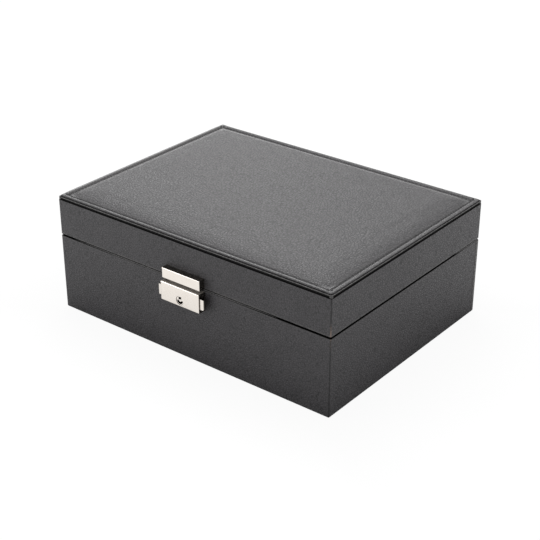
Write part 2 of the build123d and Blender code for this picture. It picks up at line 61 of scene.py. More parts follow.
# Carcass of the base and of the lid: plain wall, bottom and top boards of raw fibreboard, glued
# at the corners. The leatherette hides them, apart from the seats that are let in for the hinges.
def feed(tree, sockets, values):
    """Fill in sockets by name, each with a plain value or a link from another socket."""
    for name, value in values.items():
        if isinstance(value, bpy.types.NodeSocket):
            tree.links.new(value, sockets[name])
        else:
            sockets[name].default_value = value


def add_node(tree, kind, inputs=None, **options):
    """One shader node, with its options set and its inputs filled in."""
    made = tree.nodes.new(kind)
    for name, value in options.items():
        setattr(made, name, value)
    feed(tree, made.inputs, inputs or {})
    return made


def new_finish(name):
    """A material, its node tree, its surface shader and the piece's own coordinates."""
    finish = bpy.data.materials.new(name)
    finish.use_nodes = True
    tree = finish.node_tree
    place = add_node(tree, "ShaderNodeTexCoord").outputs["Object"]
    return finish, tree, tree.nodes["Principled BSDF"], place


def finish_surface(tree, shader, values, height, strength, depth):
    """Fill in a surface shader, and give it a relief from a height."""
    relief = add_node(tree, "ShaderNodeBump", {"Height": height, "Strength": strength, "Distance": depth})
    feed(tree, shader.inputs, {**values, "Normal": relief.outputs["Normal"]})


def mottle(tree, place, per_metre, detail, distortion=0.0):
    """An uneven value from 0 to 1, with so many blotches to the metre."""
    values = {"Vector": place, "Scale": per_metre, "Detail": detail, "Distortion": distortion}
    return add_node(tree, "ShaderNodeTexNoise", values).outputs["Fac"]


def ramp(tree, factor, low, high):
    """A colour ramp between two stops, each a position and a colour."""
    made = add_node(tree, "ShaderNodeValToRGB", {"Fac": factor})
    for element, (position, colour) in zip(made.color_ramp.elements, (low, high)):
        element.position, element.color = position, (*colour, 1)
    return made.outputs["Color"]


def spread(tree, value, from_low, from_high, low, high):
    """A value mapped from one range to another and held inside it."""
    values = {"Value": value, "From Min": from_low, "From Max": from_high, "To Min": low, "To Max": high}
    return add_node(tree, "ShaderNodeMapRange", values).outputs["Result"]


def dress(finish, *names):
    """Give CAD nodes a finish."""
    for name in names:
        mesh = nodes[name].data
        mesh.materials.clear()
        mesh.materials.append(finish)


def mottled_finish(
    name, low, high, per_metre, detail, roughness, strength, depth, stretch=None, distortion=0.0
):
    """A dull finish mottled between two colours, with a relief that follows them."""
    finish, tree, shader, place = new_finish(name)
    if stretch:
        place = add_node(tree, "ShaderNodeMapping", {"Vector": place, "Scale": stretch}).outputs["Vector"]
    marks = mottle(tree, place, per_metre, detail, distortion)
    values = {"Base Color": ramp(tree, marks, low, high), "Roughness": roughness}
    finish_surface(tree, shader, values, marks, strength, depth)
    return finish


box_sides = ("front", "back", "left", "right")
board_dark, board_light = (0.33, 0.25, 0.17), (0.45, 0.35, 0.24)
fibreboard = mottled_finish(
    "raw_fibreboard", (0.3, board_dark), (0.7, board_light), per_metre=900, detail=5, roughness=0.85,
    strength=0.4, depth=0.2 * mm, stretch=(1, 1, 6),
)
for part in ("base", "lid"):
    dress(fibreboard, *(f"{part}_{side}_board" for side in box_sides))
dress(fibreboard, "base_bottom_board", "lid_top_board")


# Leatherette skin of the base: one sheet with a fine pebble grain, glued round the boards, turned in
# over the rim and under the bottom. Its corners have rubbed through to a brown backing.
def new_group(name, values, results):
    """A shader node group that takes a place and some values, with its input and output sockets."""
    tree = bpy.data.node_groups.new(name, "ShaderNodeTree")
    tree.interface.new_socket("Place", in_out="INPUT", socket_type="NodeSocketVector")
    for label, value in values.items():
        socket = tree.interface.new_socket(label, in_out="INPUT", socket_type="NodeSocketFloat")
        socket.default_value = value
    for label in results:
        tree.interface.new_socket(label, in_out="OUTPUT", socket_type="NodeSocketFloat")
    return tree, tree.nodes.new("NodeGroupInput").outputs, tree.nodes.new("NodeGroupOutput").inputs


def use_group(tree, group, **values):
    """Place a node group in a material, with this material's values."""
    made = add_node(tree, "ShaderNodeGroup", node_tree=group)
    feed(tree, made.inputs, {name.replace("_", " "): value for name, value in values.items()})
    return made.outputs


def calculate(tree, operation, first, second=0.0):
    """One sum on values."""
    return add_node(tree, "ShaderNodeMath", {0: first, 1: second}, operation=operation).outputs["Value"]


def apart(tree, first, second):
    """How far apart two values are."""
    return calculate(tree, "ABSOLUTE", calculate(tree, "SUBTRACT", first, second))


def blend_values(tree, first, second, second_share):
    """A value between two."""
    shares = ((first, 1 - second_share), (second, second_share))
    return calculate(tree, "ADD", *(calculate(tree, "MULTIPLY", value, share) for value, share in shares))


def calculate_vector(tree, operation, first, second):
    """One sum on vectors. The second of a scale is a value, and so is what a dot product gives."""
    second_socket = "Scale" if operation == "SCALE" else 1
    made = add_node(tree, "ShaderNodeVectorMath", {0: first, second_socket: second}, operation=operation)
    return made.outputs["Value" if operation == "DOT_PRODUCT" else "Vector"]


# Pebble grain: uneven round cells with creases between them, drawn out along one run of the sheet,
# with pores on top and cloudy tone. The creases carry a painted shade
pebble_grain, given, result = new_group(
    "pebble_grain", {"Cells per metre": 700.0, "Waver": 0.4 * mm}, ("Height", "Painted crease shade", "Cloud")
)
tree = pebble_grain
grain_run, grain_stretch = (0.349, 0.848, -0.399), 0.42
wavers_per_metre, pores_per_metre, clouds_per_metre = 420, 3600, 55
dome_reach, crease_reach, pore_share = 0.34, 0.12, 0.2
share_along = calculate_vector(tree, "DOT_PRODUCT", given["Place"], grain_run)
shift = calculate_vector(tree, "SCALE", grain_run, calculate(tree, "MULTIPLY", share_along, -grain_stretch))
turned = calculate_vector(tree, "ADD", given["Place"], shift)
waver = add_node(
    tree, "ShaderNodeTexNoise", {"Vector": given["Place"], "Scale": wavers_per_metre, "Detail": 2}
).outputs["Color"]
off_centre = calculate_vector(tree, "SUBTRACT", waver, (0.5, 0.5, 0.5))
waver_shift = calculate_vector(tree, "SCALE", off_centre, given["Waver"])
wavered = calculate_vector(tree, "ADD", turned, waver_shift)
cell_values = {"Vector": wavered, "Scale": given["Cells per metre"]}
cells = add_node(tree, "ShaderNodeTexVoronoi", cell_values, feature="DISTANCE_TO_EDGE").outputs["Distance"]
dome = spread(tree, cells, 0.0, dome_reach, 0.0, 1.0)
pores = mottle(tree, wavered, pores_per_metre, detail=2)
feed(tree, result, {
    "Height": blend_values(tree, dome, pores, pore_share),
    "Painted crease shade": spread(tree, cells, 0.0, crease_reach, 1.0, 0.0),
    "Cloud": mottle(tree, given["Place"], clouds_per_metre, detail=3),
})

# Corner wear and painted rim light: a broken worn line where two faces meet in an upright edge, heaviest
# towards one level, with a dark fold beside it; a broken painted highlight beside the rim, and painted
# shade on the cut of the rim itself
base_low, base_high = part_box("base_leather_wrap")
wear_and_painted_rim_light, given, result = new_group(
    "wear_and_painted_rim_light",
    {
        "Half width": base_high.x,
        "Half depth": base_high.y,
        "Reach": 0.9 * mm,
        "Light level": 0.0,
        "Heavy level": 0.01,
        "Rim level": 0.01,
        "Other rim": -1.0,
        "Rub share": 1.0,
    },
    ("Wear", "Rim highlight", "Paint", "Fold"),
)
tree = wear_and_painted_rim_light
scuffs_per_metre, scuff_range, least_scuff = 260, (0.38, 0.56), 0.15
worn_range, fold_range, fold_shade = (0.12, 0.36), (0.08, 0.34), 0.8
highlight_off_rim, highlight_range = 0.85 * mm, (0.1 * mm, 0.6 * mm)
painted_shade_range, outer_range = (0.3 * mm, 0.6 * mm), (1.6 * mm, 2.4 * mm)
axes = add_node(tree, "ShaderNodeSeparateXYZ", {"Vector": given["Place"]}).outputs
from_faces = [
    calculate(tree, "SUBTRACT", given[half], calculate(tree, "ABSOLUTE", axes[axis]))
    for axis, half in (("X", "Half width"), ("Y", "Half depth"))
]
near_edges = [spread(tree, distance, 0.0, given["Reach"], 1.0, 0.0) for distance in from_faces]
along_edge = calculate(tree, "MULTIPLY", *near_edges)
scuffs = mottle(tree, given["Place"], scuffs_per_metre, detail=6)
broken = spread(tree, scuffs, *scuff_range, least_scuff, 1.0)
worn_edge = calculate(tree, "MULTIPLY", spread(tree, along_edge, *worn_range, 0.0, 1.0), broken)
level = spread(tree, axes["Z"], given["Light level"], given["Heavy level"], 0.0, 1.0)
off_rim, off_other = (apart(tree, axes["Z"], given[rim]) for rim in ("Rim level", "Other rim"))
# Painted highlight: a lighter line a little off each rim, broken like the wear
rim_highlight = spread(tree, apart(tree, off_rim, highlight_off_rim), *highlight_range, 1.0, 0.0)
rim_highlight = calculate(tree, "MULTIPLY", rim_highlight, given["Rub share"])
# Painted shade on the edge of each rim, where the gaps under the lid and under the cover are
either_rim = spread(tree, calculate(tree, "MINIMUM", off_rim, off_other), *painted_shade_range, 1.0, 0.0)
outermost = spread(tree, calculate(tree, "MINIMUM", *from_faces), *outer_range, 1.0, 0.0)
feed(tree, result, {
    "Wear": calculate(tree, "MULTIPLY", worn_edge, level),
    "Rim highlight": calculate(tree, "MULTIPLY", rim_highlight, broken),
    "Paint": calculate(tree, "MULTIPLY", either_rim, outermost),
    "Fold": spread(tree, along_edge, *fold_range, 0.0, fold_shade),
})

leather_top, leather_cloud = (0.0455, 0.0425, 0.046), (0.0575, 0.054, 0.058)
grain_shade_and_fold_dark, painted_highlight_colour = (0.007, 0.007, 0.0075), (0.16, 0.155, 0.157)
leather_worn, rim_highlight_colour = (0.2, 0.15, 0.125), (0.085, 0.081, 0.08)
painted_shade_black = (0.004, 0.004, 0.004)
leather_cells, grain_strength, grain_depth = 640.0, 0.9, 0.2 * mm
cloud_range, cloud_share = (0.35, 0.65), 0.6
grain_range, grain_roughness = (0.2, 0.9), (0.52, 0.36)
half_highlight, highlight_polish = 0.39, 0.6


def blend_colours(tree, factor, first, second):
    """A colour between two, each a colour or a socket."""
    made = add_node(tree, "ShaderNodeMix", {"Factor": factor}, data_type="RGBA")
    sockets = {socket.name: socket for socket in made.inputs if socket.type == "RGBA"}
    for name, colour in (("A", first), ("B", second)):
        plain = not isinstance(colour, bpy.types.NodeSocket)
        feed(tree, sockets, {name: (*colour, 1) if plain else colour})
    return next(socket for socket in made.outputs if socket.type == "RGBA")


def leatherette(name, top=leather_top, cloud=leather_cloud, levels=None, sewn=False):
    """The leatherette, with worn corners and painted rims at given levels, or a seam and a taut roll."""
    finish, tree, shader, place = new_finish(name)
    grain = use_group(tree, pebble_grain, Place=place, Cells_per_metre=leather_cells)
    colour = blend_colours(tree, spread(tree, grain["Cloud"], *cloud_range, 0.0, cloud_share), top, cloud)
    # Painted shade in the creases of the grain
    colour = blend_colours(tree, grain["Painted crease shade"], colour, grain_shade_and_fold_dark)
    roughness = spread(tree, grain["Height"], *grain_range, *grain_roughness)
    if levels:
        wear_and_painted_light = use_group(tree, wear_and_painted_rim_light, Place=place, **levels)
        # Worn corners, a dark fold along them, and a painted highlight beside the rim
        for mark, marked in (("Rim highlight", rim_highlight_colour), ("Fold", grain_shade_and_fold_dark), ("Wear", leather_worn)):
            colour = blend_colours(tree, wear_and_painted_light[mark], colour, marked)
        painted_shade = wear_and_painted_light["Paint"]
    if sewn:
        painted_shade, painted_highlight = (
            add_node(tree, "ShaderNodeAttribute", attribute_name=label).outputs["Fac"]
            for label in ("seam", "painted_highlight")
        )
        # Painted highlight on the roll and beside the seam, where the leatherette is also smoother
        colour = blend_colours(tree, painted_highlight, colour, painted_highlight_colour)
        polish = spread(tree, painted_highlight, 0.0, half_highlight, 1.0, highlight_polish)
        roughness = calculate(tree, "MULTIPLY", roughness, polish)
    # Painted shade, near black and metallic so that it reflects almost nothing: on the rims, along the seam
    # and under the roll
    if levels or sewn:
        colour = blend_colours(tree, painted_shade, colour, painted_shade_black)
        roughness = calculate(tree, "MAXIMUM", roughness, painted_shade)
        feed(tree, shader.inputs, {"Metallic": painted_shade})
    values = {"Base Color": colour, "Roughness": roughness}
    finish_surface(tree, shader, values, grain["Height"], grain_strength, grain_depth)
    return finish


base_rim, base_wear_height, base_highlight_share = base_high.z, 9 * mm, 0.25
base_levels = {
    "Heavy_level": base_rim,
    "Light_level": base_rim - base_wear_height,
    "Rim_level": base_rim,
    "Rub_share": base_highlight_share,
}
dress(leatherette("black_leatherette_base", levels=base_levels), "base_leather_wrap")


# Strip over the seam of the base's leatherette: the two ends of the sheet meet at the rear right
# corner, and a narrow strip of the same leatherette is glued over them. The strip is in a lighter copy
# of the leatherette: a painted highlight.
def new_shape(add_primitive, **options):
    """A plain shape to start from, as the only one selected."""
    bpy.ops.object.select_all(action="DESELECT")
    add_primitive(**options)
    return bpy.context.object


def select_only(obj):
    """Make one object the active one and the only one selected."""
    bpy.ops.object.select_all(action="DESELECT")
    bpy.context.view_layer.objects.active = obj
    obj.select_set(True)


def start_modelling(obj):
    """Open the mesh of one object, with all of it selected."""
    select_only(obj)
    bpy.ops.object.mode_set(mode="EDIT")
    bpy.ops.mesh.select_all(action="SELECT")


def extrude(*offset):
    """Pull what is selected out of the open mesh."""
    bpy.ops.mesh.extrude_region_move(TRANSFORM_OT_translate={"value": offset})


def face_outwards():
    """Turn all faces of the open mesh outwards."""
    bpy.ops.mesh.select_all(action="SELECT")
    bpy.ops.mesh.normals_make_consistent(inside=False)


def thicken(obj, thickness, offset):
    """Give a sheet its thickness."""
    select_only(obj)
    wall = obj.modifiers.new("thickness", "SOLIDIFY")
    wall.thickness, wall.offset = thickness, offset
    bpy.ops.object.modifier_apply(modifier=wall.name)


def end_modelling(obj, name, finish, smooth_angle=40):
    """Close the mesh, put its place into its vertices, and give it a name, a finish and shading."""
    bpy.ops.object.mode_set(mode="OBJECT")
    bpy.ops.object.transform_apply()
    bpy.ops.object.shade_smooth_by_angle(angle=math.radians(smooth_angle))
    obj.name = obj.data.name = name
    obj.data.materials.clear()
    obj.data.materials.append(finish)


def hold(obj, body, slot, *replaced):
    """Say which body a piece rides on, and hide the parts that it stands for. The slot is not used."""
    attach(obj, body)
    if replaced:
        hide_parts(*replaced)


def select_rear_edge(obj):
    """Select the upright edge of a sheet that is furthest round the corner."""
    bpy.ops.object.mode_set(mode="OBJECT")
    furthest = max(v.co.y - v.co.x for v in obj.data.vertices)
    for vertex in obj.data.vertices:
        vertex.select = vertex.co.y - vertex.co.x > furthest - same_place
    for edge in obj.data.edges:
        edge.select = all(obj.data.vertices[i].select for i in edge.vertices)
    for face in obj.data.polygons:
        face.select = False
    bpy.ops.object.mode_set(mode="EDIT")


lap_side, lap_back, lap_thickness, lap_corner, lap_steps = 2.4 * mm, 3.0 * mm, 0.12 * mm, 1.0 * mm, 6
lap_off_foot, lap_off_rim, same_place = 0.5 * mm, 0.7 * mm, 0.01 * mm
lap_low, lap_high = base_low.z + lap_off_foot, base_high.z - lap_off_rim
lap_corner_middle = Vector((base_high.x - lap_corner, base_high.y - lap_corner, (lap_low + lap_high) / 2))
# A lighter copy of the leatherette, a painted highlight: for the lap strip, the rim swells, the cover's bead
# and its corner folds
lighter_painted_top, lighter_painted_cloud = (0.084, 0.08, 0.079), (0.104, 0.099, 0.098)
lap = new_shape(bpy.ops.mesh.primitive_plane_add, size=1, rotation=(0, math.pi / 2, 0))
lap.dimensions = (lap_high - lap_low, lap_side, 0)
lap.location = (base_high.x, base_high.y - lap_corner - lap_side / 2, lap_corner_middle.z)
bpy.ops.object.transform_apply()
start_modelling(lap)
select_rear_edge(lap)
bpy.ops.mesh.spin(steps=lap_steps, angle=-math.pi / 2, center=lap_corner_middle, axis=(0, 0, 1))
select_rear_edge(lap)
extrude(-lap_back, 0, 0)
bpy.ops.mesh.select_all(action="SELECT")
bpy.ops.mesh.remove_doubles(threshold=same_place)
face_outwards()
bpy.ops.object.mode_set(mode="OBJECT")
outwards = sum(face.normal.dot(face.center - lap_corner_middle) for face in lap.data.polygons) > 0
thicken(lap, lap_thickness, 1 if outwards else -1)
start_modelling(lap)
face_outwards()
highlight_leather = leatherette("leatherette_painted_lighter", lighter_painted_top, lighter_painted_cloud)
end_modelling(lap, "base_wrap_lap", highlight_leather)
hold(lap, "base", "black_leatherette")


# Swollen rim of the base: the turned-over leatherette stands up a little along the middle of the front
# and at the rear of the right side, where the gap under the lid closes to a fine line. The swells are in
# the lighter copy of the leatherette, a painted highlight.
scene = bpy.context.scene


def copy_of(obj, name, place=Matrix()):
    """A copy of an object, with a mesh of its own that is moved to its place."""
    copy = obj.copy()
    copy.data = obj.data.copy()
    copy.name = copy.data.name = name
    copy.data.transform(place)
    scene.collection.objects.link(copy)
    return copy


swell_depth, swell_height, swell_sink = 0.75 * mm, 0.57 * mm, 0.3 * mm
front_swell_x, front_swell_half, right_swell_half = -14 * mm, 92 * mm, 30 * mm
wrap_corner = 2.1 * mm
rear_end = base_high.y - wrap_corner
front_swell = Vector((front_swell_x, swell_depth - base_high.y, base_rim))
right_swell = Vector((base_high.x - swell_depth, rear_end, base_rim))
swelling = new_shape(bpy.ops.mesh.primitive_uv_sphere_add, segments=24, ring_count=64, radius=1)
start_modelling(swelling)
bpy.ops.transform.rotate(value=math.pi / 2, orient_axis="Y", center_override=(0, 0, 0))
bpy.ops.transform.resize(value=(1, swell_depth, swell_height), center_override=(0, 0, 0))
bpy.ops.mesh.bisect(plane_co=(0, 0, -swell_sink), plane_no=(0, 0, 1), use_fill=True, clear_inner=True)
bpy.ops.object.mode_set(mode="OBJECT")
for name, middle, half_length, turn in (
    ("front_rim_swell", front_swell, front_swell_half, 0.0),
    ("right_rim_swell", right_swell, right_swell_half, math.pi / 2),
):
    strip = copy_of(swelling, name)
    strip.scale.x, strip.rotation_euler.z, strip.location = half_length, turn, middle
    select_only(strip)
    bpy.ops.object.transform_apply()
    start_modelling(strip)
    bpy.ops.mesh.bisect(plane_co=(0, rear_end, 0), plane_no=(0, 1, 0), use_fill=True, clear_outer=True)
    end_modelling(strip, name, highlight_leather)
    hold(strip, "base", "black_leatherette")
bpy.data.objects.remove(swelling)


# Sheet under the base: black felt, glued over the turned-in edges of the leatherette. It hides them,
# and the box stands on it.
felt_colour, felt_fleck = (0.018, 0.018, 0.019), (0.045, 0.045, 0.046)
felt = mottled_finish(
    "black_felt", (0.4, felt_colour), (0.75, felt_fleck), per_metre=1400, detail=6, roughness=0.95,
    strength=0.6, depth=0.2 * mm, distortion=1.5,
)
dress(felt, "bottom_sheet")


# Lining of the base: charcoal velvet on card. A floor sheet, four liner panels that the tray stands
# on, and crossed dividers for the lower bays.
velvet_nap, given, result = new_group("velvet_nap", {"Strokes per metre": 26.0}, ("Height", "Tone"))
tree = velvet_nap
pile_per_metre, stroke_share = 5200, 0.65
pile = mottle(tree, given["Place"], pile_per_metre, detail=2)
strokes = mottle(tree, given["Place"], given["Strokes per metre"], detail=3, distortion=0.8)
feed(tree, result, {"Height": pile, "Tone": blend_values(tree, pile, strokes, stroke_share)})
velvet_dark, velvet_light = (0.088, 0.088, 0.093), (0.145, 0.145, 0.151)
panel_strokes_per_metre = 26.0


def velvet_finish(name, strokes_per_metre):
    """Short velvet, with its pile brushed this way and that."""
    finish, tree, shader, place = new_finish(name)
    nap = use_group(tree, velvet_nap, Place=place, Strokes_per_metre=strokes_per_metre)
    values = {
        "Base Color": ramp(tree, nap["Tone"], (0.36, velvet_dark), (0.64, velvet_light)),
        "Roughness": 0.9,
        "Sheen Weight": 0.5,
        "Sheen Roughness": 0.4,
        "Sheen Tint": (0.6, 0.6, 0.63, 1),
    }
    finish_surface(tree, shader, values, height=nap["Height"], strength=0.5, depth=0.15 * mm)
    return finish


velvet = velvet_finish("charcoal_velvet", panel_strokes_per_metre)
dress(velvet, "base_floor_lining", *(f"base_{side}_liner" for side in box_sides))
dress(velvet, "lower_long_divider", "lower_cross_dividers")


# Lift-out tray: a floor with four walls on it and dividers for five bays and the rings, all of card
# with velvet glued over it. It stands loose on the liner panels of the base.
dress(velvet, "tray_floor", *(f"tray_{side}_wall" for side in box_sides))
dress(velvet, "tray_left_divider", "tray_right_divider", "tray_ring_bay_divider")
dress(velvet, "tray_middle_front_divider", "tray_middle_back_divider")


# Ring rolls: eight strips of foam wrapped in velvet and glued side by side to the tray's floor. They
# swell against each other, so that a ring is held between two of them.
def select_edges(obj, wanted):
    """Select the edges whose two ends pass a test, in edit mode."""
    bpy.ops.object.mode_set(mode="OBJECT")
    points = [vertex.co for vertex in obj.data.vertices]
    chosen = [edge.index for edge in obj.data.edges if wanted(*(points[i] for i in edge.vertices))]
    for part in (obj.data.vertices, obj.data.edges, obj.data.polygons):
        for item in part:
            item.select = False
    for index in chosen:
        obj.data.edges[index].select = True
    bpy.ops.object.mode_set(mode="EDIT")
    bpy.ops.mesh.select_mode(type="EDGE")


def swollen_points(obj, held, **settings):
    """The points of a mesh once it is blown up as foam under cloth, held at one group of them."""
    cloth = obj.modifiers.new("swelling", "CLOTH")
    cloth.settings.vertex_group_mass = held
    cloth.settings.use_pressure = True
    cloth.settings.uniform_pressure_force = foam_pressure
    cloth.settings.effector_weights.gravity = 0.0
    for name, value in settings.items():
        setattr(cloth.settings, name, value)
    for moment in range(1, swell_frames + 1):
        scene.frame_set(moment)
    swollen = obj.evaluated_get(bpy.context.evaluated_depsgraph_get()).data
    points = np.array([v.co for v in swollen.vertices])
    scene.frame_set(1)
    obj.modifiers.remove(cloth)
    return points


rolls_low, rolls_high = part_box("ring_rolls")
roll_count, roll_gap, roll_slack, roll_swell, roll_voxel = 8, 0.4 * mm, 0.45 * mm, 0.5 * mm, 1.5 * mm
roll_round_share, roll_end_round, glue_height, near_by = 0.42, 1.3 * mm, 1.0 * mm, 0.1 * mm
foam_pressure, swell_frames, least_move, roll_strokes_per_metre = 4.0, 20, 1e-9, 60.0
roll_pitch = (rolls_high.y - rolls_low.y + roll_gap) / roll_count
roll_size = Vector((rolls_high.x - rolls_low.x, roll_pitch - roll_gap, rolls_high.z - rolls_low.z))
roll_middle = Vector(((rolls_low.x + rolls_high.x) / 2, rolls_low.y + roll_size.y / 2, rolls_low.z))
roll_top = roll_middle.z + roll_size.z - roll_slack
roll = new_shape(bpy.ops.mesh.primitive_cube_add, size=1)
roll.dimensions = (roll_size.x - 2 * roll_slack, roll_size.y - 2 * roll_slack, roll_size.z - roll_slack)
roll.location = roll_middle + Vector((0, 0, (roll_size.z - roll_slack) / 2))
bpy.ops.object.transform_apply()
start_modelling(roll)
select_edges(roll, lambda a, b: min(a.z, b.z) > roll_top - near_by and abs(a.x - b.x) > roll_size.x / 2)
bpy.ops.mesh.bevel(offset=roll_round_share * roll_size.y, segments=7)
select_edges(roll, lambda a, b: abs(a.x - b.x) < same_place and max(a.z, b.z) > roll_middle.z + near_by)
bpy.ops.mesh.bevel(offset=roll_end_round, segments=3)
bpy.ops.object.mode_set(mode="OBJECT")
roll.data.remesh_voxel_size = roll_voxel
bpy.ops.object.voxel_remesh()
start_points = np.array([v.co for v in roll.data.vertices])
glued = roll.vertex_groups.new(name="glued")
glued.add(np.flatnonzero(start_points[:, 2] < roll_middle.z + glue_height).tolist(), 1.0, "REPLACE")
moved = swollen_points(roll, "glued", quality=5, mass=0.2, bending_stiffness=0.5) - start_points
distance = np.linalg.norm(moved, axis=1, keepdims=True)
moved *= np.minimum(1, roll_swell / np.maximum(distance, least_move))
roll.data.vertices.foreach_set("co", (start_points + moved).ravel())
finer = roll.modifiers.new("finer", "SUBSURF")
finer.levels = finer.render_levels = 1
bpy.ops.object.modifier_apply(modifier=finer.name)
roll.data.materials.append(velvet_finish("charcoal_velvet_rolls", roll_strokes_per_metre))
roll.data.shade_smooth()
for number in range(roll_count):
    copy = copy_of(roll, f"ring_roll_{number + 1}", Matrix.Translation((0, number * roll_pitch, 0)))
    hold(copy, "tray", "grey_velvet", "ring_rolls")
bpy.data.objects.remove(roll)


# Pulls of the tray: a short length of black ribbon on each side wall, doubled over with its fold at
# the top, and glued to the wall at its ends.
def grid_faces(index):
    """The four-sided faces of a grid of point numbers."""
    corners = (index[:-1, :-1], index[:-1, 1:], index[1:, 1:], index[1:, :-1])
    return np.stack(corners, -1).reshape(-1, 4).tolist()


def soft_piece(name, points, faces, finish):
    """A smooth piece from its points and faces."""
    mesh = bpy.data.meshes.new(name)
    mesh.from_pydata(points, [], faces)
    mesh.materials.append(finish)
    mesh.shade_smooth()
    made = bpy.data.objects.new(name, mesh)
    scene.collection.objects.link(made)
    return made


ribbon_thickness, ribbon_bow, ribbon_off_wall, fold_radius = 0.22 * mm, 0.35 * mm, 0.15 * mm, 0.2 * mm
run_points, turn_points, width_points = 10, 7, 7
ribbon_dark, ribbon_light, ribbon_roughness = (0.022, 0.022, 0.024), (0.05, 0.05, 0.054), 0.42
wave_scale = 85.0
satin, tree, shader, place = new_finish("black_satin_ribbon")
ribs = add_node(
    tree,
    "ShaderNodeTexWave",
    {"Vector": place, "Scale": wave_scale, "Distortion": 0.4, "Detail": 1},
    wave_type="BANDS",
    bands_direction="Z",
).outputs["Fac"]
ribbon_colour = ramp(tree, ribs, (0.2, ribbon_dark), (0.8, ribbon_light))
ribbon_values = {"Base Color": ribbon_colour, "Roughness": ribbon_roughness}
finish_surface(tree, shader, ribbon_values, height=ribs, strength=0.5, depth=0.05 * mm)
for side, sign in (("left", 1), ("right", -1)):
    pull_low, pull_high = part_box(f"tray_{side}_pull")
    wall_x = pull_low.x if sign > 0 else pull_high.x
    pull_width, foot_z = pull_high.y - pull_low.y, pull_low.z
    straight_z = pull_high.z - ribbon_thickness - fold_radius
    rise = np.linspace(0, 1, run_points)
    front_off_wall = ribbon_off_wall + 2 * fold_radius
    back_run = [(ribbon_off_wall, foot_z + share * (straight_z - foot_z)) for share in rise]
    top_turn = [
        (ribbon_off_wall + fold_radius * (1 - math.cos(angle)), straight_z + fold_radius * math.sin(angle))
        for angle in np.linspace(0, math.pi, turn_points)[1:-1]
    ]
    front_run = [
        (front_off_wall + ribbon_bow * math.sin(math.pi * share) ** 2, foot_z + share * (straight_z - foot_z))
        for share in rise[::-1]
    ]
    path = back_run + top_turn + front_run
    across_ribbon = np.linspace(pull_low.y, pull_high.y, width_points)
    points = [(wall_x + sign * out, y, z) for out, z in path for y in across_ribbon]
    faces = grid_faces(np.arange(len(points)).reshape(len(path), width_points))
    ribbon = soft_piece(f"tray_{side}_ribbon", points, faces, satin)
    thicken(ribbon, ribbon_thickness, 0)
    hold(ribbon, "tray", "ribbon", f"tray_{side}_pull")


# Skin of the lid: the same leatherette, in one sheet glued round the boards of the lid. It is turned in
# at the parting rim and over the top board, where the cover hides its ends.
lid_low, lid_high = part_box("lid_leather_wrap")
lid_heavy_height, lid_light_height = 4 * mm, 11 * mm
lid_levels = {
    "Heavy_level": lid_low.z + lid_heavy_height,
    "Light_level": lid_low.z + lid_light_height,
    "Rim_level": lid_low.z,
    "Other_rim": lid_high.z,
}
dress(leatherette("black_leatherette_lid", levels=lid_levels), "lid_leather_wrap")


# Lining of the lid: a velvet panel on card, glued inside the lid. A lipped frame, covered in the same
# velvet, holds a silvered mirror on it.
dress(velvet, "lid_lining_panel", "mirror_frame")
mirror_colour, mirror_roughness = (0.9, 0.92, 0.92, 1), (0.015, 0.06)
hazes_per_metre, haze_range = 30, (0.4, 0.8)
silver, tree, shader, place = new_finish("silvered_mirror")
haze = spread(tree, mottle(tree, place, hazes_per_metre, detail=4), *haze_range, *mirror_roughness)
feed(tree, shader.inputs, {"Base Color": mirror_colour, "Metallic": 1.0, "Roughness": haze})
dress(silver, "mirror_glass")


# Cover board on the lid: a thin board in the same leatherette, folded round its lower edge in a fine
# bead, shown in the lighter copy of the leatherette, a painted highlight. It is glued down on a spacer,
# which leaves a dark line round the lid.
board_low, board_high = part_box("cover_board")
cover_half = Vector((board_high.x, board_high.y))
cover_corner, cover_corner_steps = 1.3 * mm, 6
edge_profile = [
    (inset * mm, rise * mm)
    for inset, rise in (
        (0.4, 1.4), (0.16, 1.45), (0.03, 1.57), (0.0, 1.74), (0.04, 1.9), (0.15, 2.01), (0.32, 2.06),
        (0.5, 2.02), (0.62, 1.9), (0.68, 1.72), (0.8, 1.62), (1.4, 1.62),
    )
]


def rounded_sheet(inset, level):
    """A flat sheet in the outline of the cover, drawn in by an inset, open and all selected."""
    made = new_shape(bpy.ops.mesh.primitive_plane_add, size=1, location=(0, 0, level))
    made.scale = (2 * (cover_half.x - inset), 2 * (cover_half.y - inset), 1)
    bpy.ops.object.transform_apply(location=False, rotation=False, scale=True)
    start_modelling(made)
    bpy.ops.mesh.bevel(offset=cover_corner, segments=cover_corner_steps, affect="VERTICES")
    bpy.ops.mesh.select_all(action="SELECT")
    return made


under_inset, under_rise = last_inset, last_rise = edge_profile[0]
cover_edge = rounded_sheet(under_inset, board_low.z + under_rise)
for inset, rise in edge_profile[1:]:
    extrude(0, 0, rise - last_rise)
    wider = [(half - inset) / (half - last_inset) for half in cover_half]
    bpy.ops.transform.resize(value=(*wider, 1), center_override=(0, 0, board_low.z + rise))
    last_inset, last_rise = inset, rise
face_outwards()
end_modelling(cover_edge, "cover_edge", highlight_leather)
hold(cover_edge, "lid", "black_leatherette", "cover_board")


